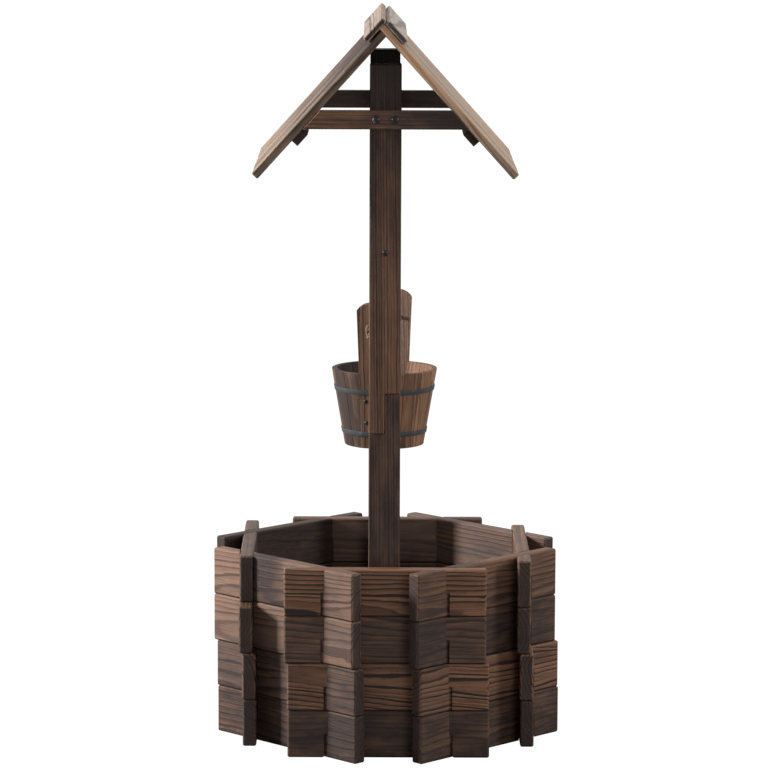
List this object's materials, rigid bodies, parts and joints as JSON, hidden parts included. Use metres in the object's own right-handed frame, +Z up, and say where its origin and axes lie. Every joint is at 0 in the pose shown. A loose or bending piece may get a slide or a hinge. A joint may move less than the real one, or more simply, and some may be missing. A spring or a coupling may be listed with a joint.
{
  "type": "wishing well planter",
  "caption": "Wooden wishing well planter: an octagonal half-lapped bed, two posts under a slatted gable roof, and a stave bucket hung by a rope from a bar.",
  "frame": {"origin": "on the ground under the middle of the octagonal bed", "axes": "+Z up, +Y from the front post to the back post, +X to the viewer's right when facing the front"},
  "size_m": [0.563, 0.557, 1.1778],
  "materials": {
    "bed_board": "scorched softwood, satin",
    "post_timber": "scorched softwood, satin",
    "brace_timber": "dark scorched softwood",
    "roof_slat": "scorched softwood, satin",
    "ridge_cap": "scorched softwood, satin",
    "bar_timber": "scorched softwood, satin",
    "screw_steel": "dark coated steel",
    "bucket_timber": "scorched softwood, satin",
    "hoop_steel": "dark grey strap",
    "rope_fibre": "twisted natural fibre"
  },
  "bodies": {
    "planter": {"course_1_front": "bed_board", "course_1_front_right": "bed_board", "course_1_right": "bed_board", "course_1_back_right": "bed_board", "course_1_back": "bed_board", "course_1_back_left": "bed_board", "course_1_left": "bed_board", "course_1_front_left": "bed_board", "course_2_front": "bed_board", "course_2_front_right": "bed_board", "course_2_right": "bed_board", "course_2_back_right": "bed_board", "course_2_back": "bed_board", "course_2_back_left": "bed_board", "course_2_left": "bed_board", "course_2_front_left": "bed_board", "course_3_front": "bed_board", "course_3_front_right": "bed_board", "course_3_right": "bed_board", "course_3_back_right": "bed_board", "course_3_back": "bed_board", "course_3_back_left": "bed_board", "course_3_left": "bed_board", "course_3_front_left": "bed_board", "course_4_front": "bed_board", "course_4_front_right": "bed_board", "course_4_right": "bed_board", "course_4_back_right": "bed_board", "course_4_back": "bed_board", "course_4_back_left": "bed_board", "course_4_left": "bed_board", "course_4_front_left": "bed_board", "post_front_lower": "post_timber", "post_front_upper": "post_timber", "post_back_lower": "post_timber", "post_back_upper": "post_timber", "brace_front": "brace_timber", "brace_back": "brace_timber", "slat_left_1": "roof_slat", "slat_left_2": "roof_slat", "slat_left_3": "roof_slat", "slat_left_4": "roof_slat", "slat_left_5": "roof_slat", "slat_left_6": "roof_slat", "slat_right_1": "roof_slat", "slat_right_2": "roof_slat", "slat_right_3": "roof_slat", "slat_right_4": "roof_slat", "slat_right_5": "roof_slat", "slat_right_6": "roof_slat", "ridge_cap_left": "ridge_cap", "ridge_cap_right": "ridge_cap", "roof_battens": "brace_timber", "rope_bar": "bar_timber", "frame_screws": "screw_steel"},
    "sling": {"bucket_rope": "rope_fibre"},
    "bucket": {"bucket_staves": "bucket_timber", "bucket_ears": "bucket_timber", "bucket_floor": "bucket_timber", "bucket_hoops": "hoop_steel"}
  },
  "joints": [
    {"name": "bucket_swing", "type": "hinge", "parent": "planter", "child": "sling", "pos_m": [-0.006, 0, 0.808], "axis": [0, 1, 0], "range_deg": [-30, 30]},
    {"name": "bucket_tip", "type": "hinge", "parent": "sling", "child": "bucket", "pos_m": [-0.006, 0, 0.668], "axis": [0.2419, 0.9703, 0], "range_deg": [-60, 60]}
  ]
}
